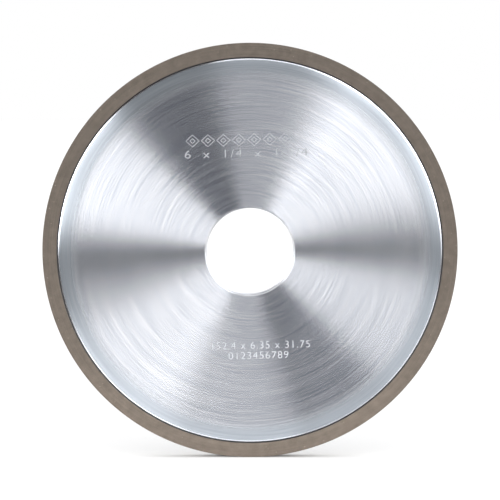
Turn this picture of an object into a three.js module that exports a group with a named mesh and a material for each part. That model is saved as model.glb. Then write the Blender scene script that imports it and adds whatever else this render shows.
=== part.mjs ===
// A straight diamond grinding wheel, in millimetres.
//
// The wheel is four rings, one inside the next, that share one axis and never come apart in use:
//   core_disc      turned aluminium disc with the bore that fits the machine's spindle
//   bond_line      thin film of adhesive in the joint between the disc and the rim
//   backing_ring   resin ring without diamond that carries the abrasive
//   diamond_rim    resin ring filled with diamond grit, the only part that cuts
//
// Frame: the origin is the centre of the bore, half way through the wheel. +Y is the axis that the
// wheel spins about, +Z is up, and the face with the maker's marks looks along -Y.
import * as THREE from "three";

const INCH = 25.4;

// Driving dimensions.
const WHEEL_DIAMETER = 6 * INCH;
const WHEEL_WIDTH = INCH / 4;
const BORE_DIAMETER = 1.25 * INCH;
const ABRASIVE_DEPTH = INCH / 16;
const RIM_DEPTH = 5.2; // abrasive and backing together, seen as one brown band
const BOND_THICKNESS = 0.5;

// Edges and reliefs.
const BORE_CHAMFER = 0.65;
const CORE_EDGE_CHAMFER = 0.2;
const RELIEF_WIDTH = 6; // the disc's face falls away over this much, just inside the rim
const RELIEF_DROP = 0.25;
const BOND_RECESS = 0.6; // the film stops this far under the rim's side face
const RIM_EDGE_CHAMFER = 0.15;

// 3 degrees a facet: a chord stays within 0.03 mm of the true circle. All rings share the same
// facets, so that their joint faces meet exactly.
const FACETS = 120;
const RELIEF_STEPS = 4;

// Radii and half width that follow from them.
const wheelRadius = WHEEL_DIAMETER / 2;
const boreRadius = BORE_DIAMETER / 2;
const backingOuterRadius = wheelRadius - ABRASIVE_DEPTH;
const backingInnerRadius = wheelRadius - RIM_DEPTH;
const coreRadius = backingInnerRadius - BOND_THICKNESS;
const halfWidth = WHEEL_WIDTH / 2;

// Turns half of a ring's outline, given as [radius, height] from the inside out at heights above
// the wheel's middle plane, into a closed ring that is the same on both faces.
function turnedRing(upperHalf) {
  const lowerHalf = upperHalf.map(([radius, height]) => [radius, -height]);
  const outline = [...lowerHalf, ...upperHalf.reverse(), lowerHalf[0]];
  const points = outline.map(([radius, height]) => new THREE.Vector2(radius, height));
  return new THREE.LatheGeometry(points, FACETS);
}

// The face near the rim falls along a parabola, level where it starts.
function reliefOutline() {
  const start = coreRadius - CORE_EDGE_CHAMFER - RELIEF_WIDTH;
  const outline = [];
  for (let step = 0; step <= RELIEF_STEPS; step += 1) {
    const share = step / RELIEF_STEPS;
    outline.push([start + RELIEF_WIDTH * share, halfWidth - RELIEF_DROP * share ** 2]);
  }
  return outline;
}

function coreDisc() {
  return turnedRing([
    [boreRadius, halfWidth - BORE_CHAMFER],
    [boreRadius + BORE_CHAMFER, halfWidth],
    ...reliefOutline(),
    [coreRadius, halfWidth - RELIEF_DROP - CORE_EDGE_CHAMFER],
  ]);
}

function bondLine() {
  const height = halfWidth - BOND_RECESS;
  return turnedRing([
    [coreRadius, height],
    [backingInnerRadius, height],
  ]);
}

function backingRing() {
  return turnedRing([
    [backingInnerRadius, halfWidth - RIM_EDGE_CHAMFER],
    [backingInnerRadius + RIM_EDGE_CHAMFER, halfWidth],
    [backingOuterRadius, halfWidth],
  ]);
}

function diamondRim() {
  return turnedRing([
    [backingOuterRadius, halfWidth],
    [wheelRadius - RIM_EDGE_CHAMFER, halfWidth],
    [wheelRadius, halfWidth - RIM_EDGE_CHAMFER],
  ]);
}

const turnedAluminium = new THREE.MeshStandardMaterial({
  color: 0xc4c8cf,
  roughness: 0.3,
  metalness: 1,
});
const darkAdhesive = new THREE.MeshStandardMaterial({
  color: 0x26272a,
  roughness: 0.7,
  metalness: 0,
});
const brownResin = new THREE.MeshStandardMaterial({
  color: 0x83776b,
  roughness: 0.65,
  metalness: 0,
});
const diamondResin = new THREE.MeshStandardMaterial({
  color: 0x85796c,
  roughness: 0.75,
  metalness: 0,
});

function named(name, geometry, material) {
  const mesh = new THREE.Mesh(geometry, material);
  mesh.name = name;
  return mesh;
}

const wheel = new THREE.Group();
wheel.add(
  named("core_disc", coreDisc(), turnedAluminium),
  named("bond_line", bondLine(), darkAdhesive),
  named("backing_ring", backingRing(), brownResin),
  named("diamond_rim", diamondRim(), diamondResin),
);

export default wheel;
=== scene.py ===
"""The looks of a straight diamond grinding wheel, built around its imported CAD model.

Metres, in the CAD frame: the wheel spins about +Y, +Z is up, and the marked face looks along -Y.
The wheel stands on its rim on a plain pale floor, face on to the camera, in soft studio light.
"""

import math

import bmesh
import bpy
from mathutils import Matrix, Vector


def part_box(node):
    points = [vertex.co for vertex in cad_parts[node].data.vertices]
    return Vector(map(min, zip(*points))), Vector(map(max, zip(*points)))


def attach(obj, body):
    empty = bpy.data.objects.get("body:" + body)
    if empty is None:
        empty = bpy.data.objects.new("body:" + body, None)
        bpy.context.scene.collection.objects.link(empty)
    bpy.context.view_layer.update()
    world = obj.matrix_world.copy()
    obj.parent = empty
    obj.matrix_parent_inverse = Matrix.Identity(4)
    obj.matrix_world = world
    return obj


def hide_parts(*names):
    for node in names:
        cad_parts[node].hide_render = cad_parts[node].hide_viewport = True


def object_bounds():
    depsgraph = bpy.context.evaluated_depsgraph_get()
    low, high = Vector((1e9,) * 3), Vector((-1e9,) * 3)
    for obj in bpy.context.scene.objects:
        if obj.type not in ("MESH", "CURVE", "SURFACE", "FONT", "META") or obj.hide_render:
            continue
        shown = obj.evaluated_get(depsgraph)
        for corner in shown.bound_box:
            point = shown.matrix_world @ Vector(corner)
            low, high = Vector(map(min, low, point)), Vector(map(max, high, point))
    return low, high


MM = 0.001
SPIN_AXIS = (0.0, 1.0, 0.0)
TURN_STEPS = 512

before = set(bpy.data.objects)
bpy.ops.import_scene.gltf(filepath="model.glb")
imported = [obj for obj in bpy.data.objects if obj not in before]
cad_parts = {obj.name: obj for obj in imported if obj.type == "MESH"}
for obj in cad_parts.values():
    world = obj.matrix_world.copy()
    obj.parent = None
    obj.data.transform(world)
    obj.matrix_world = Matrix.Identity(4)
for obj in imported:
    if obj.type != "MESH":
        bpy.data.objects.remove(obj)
cad_low, cad_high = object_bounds()


# ------------------------------------------------------------------ sizes, from the frame


def radii_of(node):
    """The smallest and the largest distance of a CAD node's corners from the spin axis."""
    reach = [math.hypot(corner.co.x, corner.co.z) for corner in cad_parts[node].data.vertices]
    return min(reach), max(reach)


bore_radius, core_radius = radii_of("core_disc")
backing_inner, backing_outer = radii_of("backing_ring")
wheel_radius = radii_of("diamond_rim")[1]
half_width = cad_high.y
bond_half_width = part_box("bond_line")[1].y

FACE_SETBACK = 0.04 * MM  # the disc's face lies this far inside its CAD face, to leave room for marks
BORE_CHAMFER = 0.65 * MM
BORE_CORNER = 0.05 * MM  # bevel on both edges of the chamfer
RELIEF_WIDTH = 6.0 * MM  # the disc's face falls along a parabola over this much, near its edge
RELIEF_DROP = 0.25 * MM
RELIEF_STEPS = 12
CORE_EDGE = 0.3 * MM  # width and drop of the slope between the relief and the disc's outer wall
CORE_EDGE_DROP = 0.17 * MM
BOND_HOLLOW = 0.12 * MM  # how far the film of adhesive sinks in its middle
INNER_CORNER = 0.08 * MM  # bevel on the inner edge of the brown band
RIM_CORNER = 0.15 * MM  # bevel on its outer edge
CORNER_SEGMENTS = 3
SAME_PLACE = 0.0001 * MM  # corners nearer than this are one corner
ON_RING = 0.002 * MM  # an edge this near to a radius and a height belongs to that ring
SHARP_ANGLE = math.radians(40)
relief_start = core_radius - CORE_EDGE - RELIEF_WIDTH

MARK_HEIGHT = 0.03 * MM
MARK_TILT = math.radians(1.4)  # anticlockwise, seen from the front
LOZENGE_RADII = (0.5, 0.22)  # of a lozenge's two outlines, as shares of its height
LOZENGE_PITCH = 1.1
LOZENGE_STROKE = 0.06
FIGURE_SPACING = 1.15
FIGURE_THINNING = -0.006  # share of the text size taken off both sides of a stroke
ROW_WELD = 1e-5  # in a flat row's own units: corners nearer than this are one corner

NOISE_LOW = 0.36  # nearly all of the noise lies between these two
NOISE_HIGH = 0.64


# ------------------------------------------------------------------ nodes


def linear(colour):
    """An sRGB hex colour as the linear red, green, blue and alpha that a socket holds."""
    channels = [int(colour[i : i + 2], 16) / 255 for i in (1, 3, 5)]
    return [c / 12.92 if c <= 0.04045 else ((c + 0.055) / 1.055) ** 2.4 for c in channels] + [1.0]


def add(tree, kind, inputs=None, stops=None, **settings):
    """Adds a node with its settings, its inputs (a value or the socket to link) and a ramp's stops."""
    made = tree.nodes.new("ShaderNode" + kind)
    for name, value in settings.items():
        setattr(made, name, value)
    for key, value in (inputs or {}).items():
        if isinstance(value, bpy.types.NodeSocket):
            tree.links.new(value, made.inputs[key])
        else:
            made.inputs[key].default_value = value
    if stops:
        elements = made.color_ramp.elements
        while len(elements) < len(stops):
            elements.new(1.0)
        for element, (place, colour) in zip(elements, stops):
            element.position = place
            element.color = colour
    return made


def empty_material(name):
    """A material with nodes and none in it yet."""
    material = bpy.data.materials.new(name)
    material.use_nodes = True
    material.node_tree.nodes.clear()
    return material


def finish_material(material, shader):
    """Joins a shader to the material's output."""
    add(material.node_tree, "OutputMaterial", {"Surface": shader.outputs["BSDF"]})
    return material


def turned_coordinates(tree):
    """Sockets for a turned surface: place, outward direction, distance from the axis, and travel.

    Travel grows as a tool crosses the surface, outward along a face or lengthwise along a wall.
    """
    place = add(tree, "TexCoord").outputs["Object"]
    flat = add(tree, "VectorMath", {0: place, 1: (1.0, 0.0, 1.0)}, operation="MULTIPLY")
    outward = add(tree, "VectorMath", {0: flat.outputs["Vector"]}, operation="NORMALIZE")
    radius = add(tree, "VectorMath", {0: flat.outputs["Vector"]}, operation="LENGTH")
    height = add(tree, "SeparateXYZ", {0: place})
    travel = add(
        tree, "Math", {0: radius.outputs["Value"], 1: height.outputs["Y"]}, operation="ADD"
    )
    return place, outward.outputs["Vector"], radius.outputs["Value"], travel.outputs["Value"]


def circular_lines(tree, outward, travel, spacing, arc):
    """Noise drawn out along circles: lines this far apart in metres, each about arc radians long."""
    across = add(tree, "Math", {0: travel, 1: 1 / spacing}, operation="MULTIPLY")
    lift = add(tree, "CombineXYZ", {"Y": across.outputs["Value"]})
    along = add(tree, "VectorMath", {0: outward, 3: 1 / arc}, operation="SCALE")
    both = add(
        tree, "VectorMath", {0: along.outputs["Vector"], 1: lift.outputs["Vector"]}, operation="ADD"
    )
    return add(
        tree,
        "TexNoise",
        {"Vector": both.outputs["Vector"], "Scale": 1.0, "Detail": 1.0, "Roughness": 0.6},
    ).outputs["Fac"]


# ------------------------------------------------------------------ materials


def brushed_aluminium():
    """Aluminium plate, faced on a lathe and then brushed as it turned.

    The scratches run in long circles, so every lamp is drawn out across them into a bright spoke. The
    last few millimetres before the rim are duller, because the brush hardly reaches into the relief
    there, and the disc's very edge is burnished bright again.
    """
    dull_from = relief_start - 2.5 * MM
    dull_to = relief_start + 3.5 * MM
    burnished_from = core_radius - CORE_EDGE - 0.1 * MM
    burnished_to = core_radius - CORE_EDGE
    bored_to = bore_radius + 0.05 * MM
    brushed_from = bore_radius + 0.25 * MM
    most_haze = 0.08
    dull_haze = 0.33
    bored_roughness = 0.55
    brushed_roughness = 0.2

    material = empty_material("aluminium_brushed_in_circles")
    tree = material.node_tree
    _, outward, radius, travel = turned_coordinates(tree)

    # Brush scratches are some 0.05 mm apart; drawn 0.2 mm and 0.36 mm apart so that they show.
    scratches = circular_lines(tree, outward, travel, 0.2 * MM, 0.3)
    strokes = circular_lines(tree, outward, travel, 0.36 * MM, 1.0)
    lines = add(
        tree, "Mix", {"Factor": 0.5, "A": scratches, "B": strokes}, data_type="FLOAT"
    ).outputs["Result"]
    bright = add(
        tree,
        "ValToRGB",
        {"Fac": lines},
        stops=[(NOISE_LOW, linear("#DFE2E8")), (NOISE_HIGH, linear("#FCFCFE"))],
    )
    # Scratches that cross the others scatter light evenly: a faint haze, uneven from line to line.
    haze = add(
        tree,
        "MapRange",
        {"Value": lines, "From Min": NOISE_LOW, "From Max": NOISE_HIGH, "To Max": most_haze},
    )
    past_brush = add(
        tree,
        "MapRange",
        {"Value": radius, "From Min": dull_from, "From Max": dull_to},
        interpolation_type="SMOOTHSTEP",
    )
    before_edge = add(
        tree,
        "MapRange",
        {
            "Value": radius,
            "From Min": burnished_from,
            "From Max": burnished_to,
            "To Min": 1.0,
            "To Max": 0.0,
        },
    )
    dull = add(
        tree,
        "Math",
        {0: past_brush.outputs["Result"], 1: before_edge.outputs["Result"]},
        operation="MULTIPLY",
    ).outputs["Value"]
    grey = add(
        tree,
        "ValToRGB",
        {"Fac": lines},
        stops=[(NOISE_LOW, linear("#A6ACB2")), (NOISE_HIGH, linear("#BBC1C7"))],
    )
    colour = add(
        tree,
        "Mix",
        {"Factor": dull, "A": bright.outputs["Color"], "B": grey.outputs["Color"]},
        data_type="RGBA",
    )
    matt = add(
        tree,
        "Mix",
        {"Factor": dull, "A": haze.outputs["Result"], "B": dull_haze},
        data_type="FLOAT",
    )
    metal = add(tree, "Math", {0: 1.0, 1: matt.outputs["Result"]}, operation="SUBTRACT")

    # The lamps are drawn out across the scratches: along the face outward, and along the walls.
    facing = add(tree, "NewGeometry").outputs["Normal"]
    around = add(tree, "VectorMath", {0: outward, 1: SPIN_AXIS}, operation="CROSS_PRODUCT")
    across = add(
        tree, "VectorMath", {0: facing, 1: around.outputs["Vector"]}, operation="CROSS_PRODUCT"
    )
    relief = add(tree, "Bump", {"Height": lines, "Strength": 1.0, "Distance": 0.001 * MM})
    # The hole's wall is bored and not brushed, so it is rougher than the faces.
    roughness = add(
        tree,
        "MapRange",
        {
            "Value": radius,
            "From Min": bored_to,
            "From Max": brushed_from,
            "To Min": bored_roughness,
            "To Max": brushed_roughness,
        },
    )
    shader = add(
        tree,
        "BsdfPrincipled",
        {
            "Base Color": colour.outputs["Result"],
            "Metallic": metal.outputs["Value"],
            "Roughness": roughness.outputs["Result"],
            "Anisotropic": 1.0,
            "Tangent": across.outputs["Vector"],
            "Normal": relief.outputs["Normal"],
        },
    )
    return finish_material(material, shader)


def frosted_aluminium():
    """Aluminium frosted by a marking laser: it scatters light evenly and looks pale from every side."""
    spot = 0.1 * MM  # twice the size of a real laser spot, so that it shows
    material = empty_material("aluminium_laser_frosted")
    tree = material.node_tree
    place = add(tree, "TexCoord").outputs["Object"]
    frost = add(tree, "TexNoise", {"Vector": place, "Scale": 1 / spot, "Detail": 2.0})
    colour = add(
        tree,
        "ValToRGB",
        {"Fac": frost.outputs["Fac"]},
        stops=[(0.35, linear("#AEB1B7")), (0.65, linear("#C2C5CA"))],
    )
    relief = add(
        tree, "Bump", {"Height": frost.outputs["Fac"], "Strength": 0.3, "Distance": 0.01 * MM}
    )
    shader = add(
        tree,
        "BsdfPrincipled",
        {
            "Base Color": colour.outputs["Color"],
            "Metallic": 0.0,
            "Roughness": 0.7,
            "Normal": relief.outputs["Normal"],
        },
    )
    return finish_material(material, shader)


def black_epoxy():
    """Black epoxy left in the joint: dark, a little glossy, with a wavy skin."""
    wave = 1.5 * MM
    material = empty_material("epoxy_black_cured")
    tree = material.node_tree
    place = add(tree, "TexCoord").outputs["Object"]
    waves = add(tree, "TexNoise", {"Vector": place, "Scale": 1 / wave, "Detail": 3.0})
    colour = add(
        tree,
        "ValToRGB",
        {"Fac": waves.outputs["Fac"]},
        stops=[(0.3, linear("#141416")), (0.7, linear("#232327"))],
    )
    relief = add(
        tree, "Bump", {"Height": waves.outputs["Fac"], "Strength": 0.5, "Distance": 0.05 * MM}
    )
    shader = add(
        tree,
        "BsdfPrincipled",
        {
            "Base Color": colour.outputs["Color"],
            "Roughness": 0.5,
            "Normal": relief.outputs["Normal"],
        },
    )
    return finish_material(material, shader)


def ground_resin(name, grain, glint_speck_share):
    """Phenolic resin moulded full of mineral powder and ground flat.

    It is matt brown with a fine pepper of grain, ringed by faint marks of the wheel that trued it.
    """
    cloud = 3 * MM
    cell = 2.2 * grain  # each holds one grit grain, which shows as a pale speck with a painted glint only in the chosen few
    glint_speck_radius = 0.35
    material = empty_material(name)
    tree = material.node_tree
    place, outward, _, travel = turned_coordinates(tree)
    grains = add(
        tree,
        "TexNoise",
        {"Vector": place, "Scale": 1 / grain, "Detail": 2.0, "Roughness": 0.7},
    )
    clouds = add(tree, "TexNoise", {"Vector": place, "Scale": 1 / cloud, "Detail": 3.0})
    truing = circular_lines(tree, outward, travel, 0.35 * MM, 0.3)
    tone = add(
        tree,
        "Mix",
        {"Factor": 0.35, "A": grains.outputs["Fac"], "B": clouds.outputs["Fac"]},
        data_type="FLOAT",
    )
    tone = add(
        tree, "Mix", {"Factor": 0.2, "A": tone.outputs["Result"], "B": truing}, data_type="FLOAT"
    )
    body = add(
        tree,
        "ValToRGB",
        {"Fac": tone.outputs["Result"]},
        stops=[(NOISE_LOW, linear("#4F473E")), (NOISE_HIGH, linear("#70655B"))],
    )
    # Single grit grains show as pale specks. This is partly their own paler colour and partly a painted
    # glint, where they would catch the light.
    cells = add(tree, "TexVoronoi", {"Vector": place, "Scale": 1 / cell})
    chosen = add(tree, "SeparateColor", {"Color": cells.outputs["Color"]})
    picked = add(
        tree, "Math", {0: chosen.outputs["Red"], 1: 1 - glint_speck_share}, operation="GREATER_THAN"
    )
    near = add(
        tree, "Math", {0: cells.outputs["Distance"], 1: glint_speck_radius}, operation="LESS_THAN"
    )
    painted_glint_speck = add(
        tree,
        "Math",
        {0: picked.outputs["Value"], 1: near.outputs["Value"]},
        operation="MULTIPLY",
    )
    # Mixes in the pale specks: the grains' own paler colour with a painted glint.
    colour = add(
        tree,
        "Mix",
        {"Factor": painted_glint_speck.outputs["Value"], "A": body.outputs["Color"], "B": linear("#9A9083")},
        data_type="RGBA",
    )
    heights = add(
        tree, "Mix", {"Factor": 0.4, "A": grains.outputs["Fac"], "B": truing}, data_type="FLOAT"
    )
    relief = add(
        tree,
        "Bump",
        {"Height": heights.outputs["Result"], "Strength": 1.0, "Distance": 0.2 * grain},
    )
    shader = add(
        tree,
        "BsdfPrincipled",
        {
            "Base Color": colour.outputs["Result"],
            "Roughness": 0.62,
            "Normal": relief.outputs["Normal"],
        },
    )
    return finish_material(material, shader)


# ------------------------------------------------------------------ pieces


def mesh_object(name, bm, material):
    """Puts a mesh of one material into the scene."""
    mesh = bpy.data.meshes.new(name)
    bm.to_mesh(mesh)
    bm.free()
    mesh.materials.append(material)
    made = bpy.data.objects.new(name, mesh)
    bpy.context.scene.collection.objects.link(made)
    return made


def piece(name, bm, material):
    """A mesh as a piece of the wheel that rides on its one body."""
    made = mesh_object(name, bm, material)
    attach(made, "root")
    return made


def turned(upper):
    """Spins a ring about the wheel's axis, the same on both faces.

    Its outline is given as (radius, height) points from the inside out, above the middle plane.
    """
    outline = [(radius, -height) for radius, height in upper] + upper[::-1]
    bm = bmesh.new()
    corners = [bm.verts.new((radius, height, 0.0)) for radius, height in outline]
    edges = [bm.edges.new((a, b)) for a, b in zip(corners, corners[1:] + corners[:1])]
    bmesh.ops.spin(
        bm,
        geom=corners + edges,
        axis=SPIN_AXIS,
        cent=(0.0, 0.0, 0.0),
        angle=2 * math.pi,
        steps=TURN_STEPS,
        use_merge=True,
    )
    bmesh.ops.remove_doubles(bm, verts=bm.verts, dist=SAME_PLACE)
    bmesh.ops.recalc_face_normals(bm, faces=bm.faces)
    return bm


def break_edges(bm, radius, height, size):
    """Bevels the round edges at this radius and at this height on both faces."""
    corners = {
        corner
        for corner in bm.verts
        if abs(math.hypot(corner.co.x, corner.co.z) - radius) < ON_RING
        and abs(abs(corner.co.y) - height) < ON_RING
    }
    rings = [edge for edge in bm.edges if corners.issuperset(edge.verts)]
    bmesh.ops.bevel(
        bm,
        geom=rings,
        offset=size,
        offset_type="OFFSET",
        segments=CORNER_SEGMENTS,
        profile=0.5,
        affect="EDGES",
        clamp_overlap=True,
        material=-1,
    )


def smooth_round(bm):
    """Shades the round surfaces smooth and leaves the corners that aren't broken sharp."""
    for face in bm.faces:
        face.smooth = True
    for edge in bm.edges:
        edge.smooth = edge.calc_face_angle() < SHARP_ANGLE


def keep_flats_flat(made):
    """Lets the large flat faces set the shading, so that the broken edges don't darken them."""
    modifier = made.modifiers.new("flat_faces", "WEIGHTED_NORMAL")
    modifier.weight = 100
    modifier.keep_sharp = True


def build_core(material):
    """The disc: the bore and its chamfers, the flat faces, and the relief just inside the rim."""
    face_height = half_width - FACE_SETBACK
    upper = [(bore_radius, face_height - BORE_CHAMFER), (bore_radius + BORE_CHAMFER, face_height)]
    for step in range(RELIEF_STEPS + 1):
        share = step / RELIEF_STEPS
        upper.append((relief_start + RELIEF_WIDTH * share, face_height - RELIEF_DROP * share**2))
    upper.append((core_radius, face_height - RELIEF_DROP - CORE_EDGE_DROP))
    bm = turned(upper)
    break_edges(bm, bore_radius + BORE_CHAMFER, face_height, BORE_CORNER)
    break_edges(bm, bore_radius, face_height - BORE_CHAMFER, BORE_CORNER)
    smooth_round(bm)
    core = piece("brushed_core", bm, material)
    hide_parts("core_disc")
    keep_flats_flat(core)


def build_bond(material):
    """The film of adhesive, hollow across its top where it shrank as it cured."""
    upper = [
        (core_radius, bond_half_width),
        ((core_radius + backing_inner) / 2, bond_half_width - BOND_HOLLOW),
        (backing_inner, bond_half_width),
    ]
    bm = turned(upper)
    smooth_round(bm)
    bond = piece("adhesive_film", bm, material)
    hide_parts("bond_line")


def build_backing(material):
    """The inner ring of the brown band, with its inner edge just broken."""
    bm = turned([(backing_inner, half_width), (backing_outer, half_width)])
    break_edges(bm, backing_inner, half_width, INNER_CORNER)
    smooth_round(bm)
    backing = piece("resin_backing", bm, material)
    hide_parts("backing_ring")
    keep_flats_flat(backing)


def build_rim(material):
    """The diamond layer, with its outer corners slightly rounded by dressing."""
    bm = turned([(backing_outer, half_width), (wheel_radius, half_width)])
    break_edges(bm, wheel_radius, half_width, RIM_CORNER)
    smooth_round(bm)
    rim = piece("abrasive_rim", bm, material)
    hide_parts("diamond_rim")
    keep_flats_flat(rim)


def lozenge_row(count):
    """A row of lozenges, each drawn as two outlines, one inside the other."""
    bm = bmesh.new()
    for number in range(count):
        for radius in LOZENGE_RADII:
            made = bmesh.ops.create_circle(bm, cap_ends=True, radius=radius, segments=4)
            bmesh.ops.translate(bm, verts=made["verts"], vec=(LOZENGE_PITCH * number, 0.0, 0.0))
    inner = list(bm.faces)
    bmesh.ops.inset_individual(bm, faces=inner, thickness=LOZENGE_STROKE)
    bmesh.ops.delete(bm, geom=inner, context="FACES")
    return bm


def figure_row(figures):
    """A row of plain figures as a flat mesh."""
    text = bpy.data.curves.new("row", "FONT")
    text.body = figures
    text.space_character = FIGURE_SPACING
    text.offset = FIGURE_THINNING
    drawn = bpy.data.objects.new("row", text)
    bpy.context.scene.collection.objects.link(drawn)
    graph = bpy.context.evaluated_depsgraph_get()
    mesh = bpy.data.meshes.new_from_object(drawn.evaluated_get(graph))
    bpy.data.objects.remove(drawn)
    bm = bmesh.new()
    bm.from_mesh(mesh)
    bpy.data.meshes.remove(mesh)
    return bm


def etch(name, bm, material, length, height, across, up):
    """Fits a flat row to its length and height, thickens it, and lays it on the front face.

    Its middle comes to lie this far across and up from the wheel's axis.
    """
    reach = [(min(v.co[i] for v in bm.verts), max(v.co[i] for v in bm.verts)) for i in (0, 1)]
    middle = [-(low + high) / 2 for low, high in reach]
    share = [size / (high - low) for size, (low, high) in zip((length, height), reach)]
    bmesh.ops.remove_doubles(bm, verts=bm.verts, dist=ROW_WELD)
    bmesh.ops.translate(bm, verts=bm.verts, vec=(*middle, 0.0))
    bmesh.ops.scale(bm, verts=bm.verts, vec=(*share, 1.0))
    raised = bmesh.ops.extrude_face_region(bm, geom=bm.faces[:])["geom"]
    corners = [item for item in raised if isinstance(item, bmesh.types.BMVert)]
    bmesh.ops.translate(bm, verts=corners, vec=(0.0, 0.0, MARK_HEIGHT))
    tilt = Matrix.Rotation(-MARK_TILT, 4, "Y")
    row = Matrix.Translation((across, -half_width + FACE_SETBACK, up))
    stand = Matrix.Rotation(math.radians(90), 4, "X")
    bm.transform(tilt @ row @ stand)
    bmesh.ops.recalc_face_normals(bm, faces=bm.faces)
    piece(name, bm, material)


def build_marks(material):
    """Plain marks on the front face: lozenges, and the wheel's own size in inches and millimetres."""
    etch("mark_lozenges", lozenge_row(7), material, 39 * MM, 4.7 * MM, -3.1 * MM, 40.9 * MM)
    rows = [
        ("mark_inches", "6  x  1/4  x  1-1/4", 45 * MM, 2.9 * MM, -0.5 * MM, 36.0 * MM),
        ("mark_millimetres", "152.4 x 6.35 x 31.75", 36 * MM, 2.7 * MM, 3.2 * MM, -34.6 * MM),
        ("mark_digits", "0123456789", 22 * MM, 2.7 * MM, 2.2 * MM, -38.4 * MM),
    ]
    for name, figures, *place in rows:
        etch(name, figure_row(figures), material, *place)


build_core(brushed_aluminium())
build_bond(black_epoxy())
build_backing(ground_resin("phenolic_resin_ground", 0.16 * MM, 0.004))
build_rim(ground_resin("phenolic_resin_with_diamond_grit", 0.2 * MM, 0.012))
build_marks(frosted_aluminium())


# ------------------------------------------------------------------ floor, light and camera


def build_floor():
    """A plain pale floor that the wheel stands on."""
    floor_radius = 12.0
    material = empty_material("floor_matt_white_paint")
    shader = add(
        material.node_tree,
        "BsdfPrincipled",
        {"Base Color": (0.97, 0.97, 0.97, 1.0), "Roughness": 1.0, "Specular IOR Level": 0.0},
    )
    finish_material(material, shader)
    bm = bmesh.new()
    bmesh.ops.create_circle(bm, cap_ends=True, radius=floor_radius, segments=64)
    bmesh.ops.translate(bm, verts=bm.verts, vec=(0.0, 0.0, cad_low.z))
    floor = mesh_object("floor", bm, material)
    floor.visible_glossy = False


def lamp_light(tree, turn, start, end, softness, light):
    """Light from the lamp that fills this part of the circle, in degrees clockwise from the right."""
    middle = math.radians((start + end) / 2)
    half = math.radians((end - start) / 2)
    fade = math.radians(softness / 2)
    aside = add(tree, "Math", {0: turn, 1: middle}, operation="SUBTRACT")
    wrapped = add(
        tree, "Math", {0: aside.outputs["Value"], 1: math.pi, 2: -math.pi}, operation="WRAP"
    )
    off = add(tree, "Math", {0: wrapped.outputs["Value"]}, operation="ABSOLUTE")
    share = add(
        tree,
        "MapRange",
        {"Value": off.outputs["Value"], "From Min": half + fade, "From Max": half - fade},
        interpolation_type="SMOOTHSTEP",
    )
    return add(
        tree, "VectorMath", {0: light, 3: share.outputs["Result"]}, operation="SCALE"
    ).outputs["Vector"]


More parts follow.
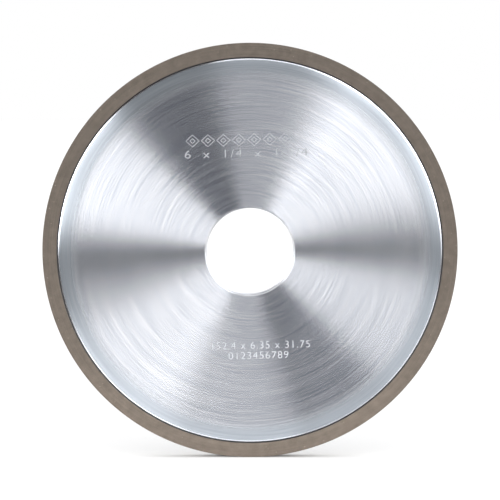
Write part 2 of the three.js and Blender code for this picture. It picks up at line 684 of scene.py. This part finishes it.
def build_room():
    """A white room for everything matt, and the studio's lamps for everything that shines.

    The lamps stand in a circle in front of the wheel, with a dark gap round the camera in its middle
    and the room's walls outside it.
    """
    # Start and end in degrees clockwise from the right, softness in degrees, and light.
    lamps = {
        "soft box on the upper left": (176, 218, 8, (6.38, 6.46, 6.60)),
        "soft box on the upper right": (299.5, 360, 26, (5.79, 5.86, 5.99)),
        "white board above": (258.4, 315, 5, (1.55, 1.58, 1.64)),
        "white board below": (76, 104, 3.3, (1.60, 1.63, 1.69)),
        "white board on the lower left": (106, 148, 16, (2.56, 2.59, 2.65)),
        "grey board on the right": (18, 49, 6, (1.29, 1.32, 1.38)),
        "darker board on the lower right": (49, 74, 4, (0.80, 0.83, 0.89)),
    }
    dim_light = (0.010, 0.012, 0.022)
    gap_edge = (0.234, 0.320)  # sine of the angle off the wheel's axis, where the dark gap ends
    lamps_edge = (-0.68, -0.45)  # Y of a direction, where the lamps give way to the walls
    wall_foot = (-0.95, -0.3)  # Z of a direction, between which the walls brighten
    wall_light = (0.2, 0.8)

    world = bpy.data.worlds.new("studio")
    bpy.context.scene.world = world
    world.use_nodes = True
    world.cycles.sampling_method = "NONE"
    tree = world.node_tree
    tree.nodes.clear()
    toward = add(tree, "TexCoord").outputs["Generated"]
    part = add(tree, "SeparateXYZ", {0: toward})
    down = add(tree, "Math", {0: part.outputs["Z"], 1: -1.0}, operation="MULTIPLY")
    turn = add(tree, "Math", {0: down.outputs["Value"], 1: part.outputs["X"]}, operation="ARCTAN2")
    seen = (0.0, 0.0, 0.0)
    for place in lamps.values():
        light = lamp_light(tree, turn.outputs["Value"], *place)
        seen = add(tree, "VectorMath", {0: seen, 1: light}, operation="ADD").outputs["Vector"]
    aside = add(tree, "VectorMath", {0: toward, 1: (1.0, 0.0, 1.0)}, operation="MULTIPLY")
    slant = add(tree, "VectorMath", {0: aside.outputs["Vector"]}, operation="LENGTH")
    past_camera = add(
        tree,
        "MapRange",
        {"Value": slant.outputs["Value"], "From Min": gap_edge[0], "From Max": gap_edge[1]},
        interpolation_type="SMOOTHSTEP",
    )
    lit = add(tree, "VectorMath", {0: seen, 3: past_camera.outputs["Result"]}, operation="SCALE")
    in_front = add(tree, "VectorMath", {0: lit.outputs["Vector"], 1: dim_light}, operation="ADD")
    past_lamps = add(
        tree,
        "MapRange",
        {"Value": part.outputs["Y"], "From Min": lamps_edge[0], "From Max": lamps_edge[1]},
        interpolation_type="SMOOTHSTEP",
    )
    # The walls are pale, and the ground at their foot is darker.
    walls = add(
        tree,
        "MapRange",
        {
            "Value": part.outputs["Z"],
            "From Min": wall_foot[0],
            "From Max": wall_foot[1],
            "To Min": wall_light[0],
            "To Max": wall_light[1],
        },
        interpolation_type="SMOOTHSTEP",
    )
    shiny = add(
        tree,
        "Mix",
        {
            "Factor": past_lamps.outputs["Result"],
            "A": in_front.outputs["Vector"],
            "B": walls.outputs["Result"],
        },
        data_type="RGBA",
    )
    path = add(tree, "LightPath")
    choice = add(
        tree,
        "Mix",
        {
            "Factor": path.outputs["Is Glossy Ray"],
            "A": (1.0, 1.0, 1.0, 1.0),
            "B": shiny.outputs["Result"],
        },
        data_type="RGBA",
    )
    glow = add(tree, "Background", {"Color": choice.outputs["Result"], "Strength": 1.0})
    add(tree, "OutputWorld", {"Surface": glow.outputs["Background"]})


def build_lights():
    """A soft overhead light for the floor, and a strip low in front for the foot of the rim."""
    strip_place = (0.0, -0.06, cad_low.z + 0.012)
    strip_turn = math.radians(95)  # faces the wheel, tipped up a little
    overhead = bpy.data.lights.new("overhead", "SUN")
    overhead.energy = 0.5
    overhead.angle = math.radians(70)
    strip = bpy.data.lights.new("strip", "AREA")
    strip.shape = "RECTANGLE"
    strip.size = 0.16
    strip.size_y = 0.02
    strip.energy = 0.052
    for light, place, turn in (
        (overhead, (0.0, 0.0, 1.0), 0.0),
        (strip, strip_place, strip_turn),
    ):
        lamp = bpy.data.objects.new(light.name, light)
        bpy.context.scene.collection.objects.link(lamp)
        lamp.location = place
        lamp.rotation_euler = (turn, 0.0, 0.0)
        lamp.visible_glossy = False
        lamp.visible_camera = False


def build_camera():
    """Long lens, a little above the wheel's axis."""
    distance = 0.8
    elevation = math.radians(4.0)
    wheel_share = 0.8308  # of the picture's width, that the wheel's front face takes up
    sensor_width = 36.0
    camera_data = bpy.data.cameras.new("camera")
    camera_data.sensor_width = sensor_width
    camera_data.lens = sensor_width * wheel_share * (distance - half_width) / (2 * wheel_radius)
    camera_data.shift_y = 0.0014  # brings the wheel's outline to the middle of the picture
    camera_data.clip_start = 0.01
    camera_data.clip_end = 50.0
    camera = bpy.data.objects.new("camera", camera_data)
    bpy.context.scene.collection.objects.link(camera)
    away = Vector((0.0, -math.cos(elevation), math.sin(elevation)))
    camera.location = away * distance
    camera.rotation_mode = "QUATERNION"
    camera.rotation_quaternion = (-away).to_track_quat("-Z", "Y")
    bpy.context.scene.camera = camera


build_floor()
build_room()
build_lights()
build_camera()
bpy.context.scene.view_settings.view_transform = "Standard"
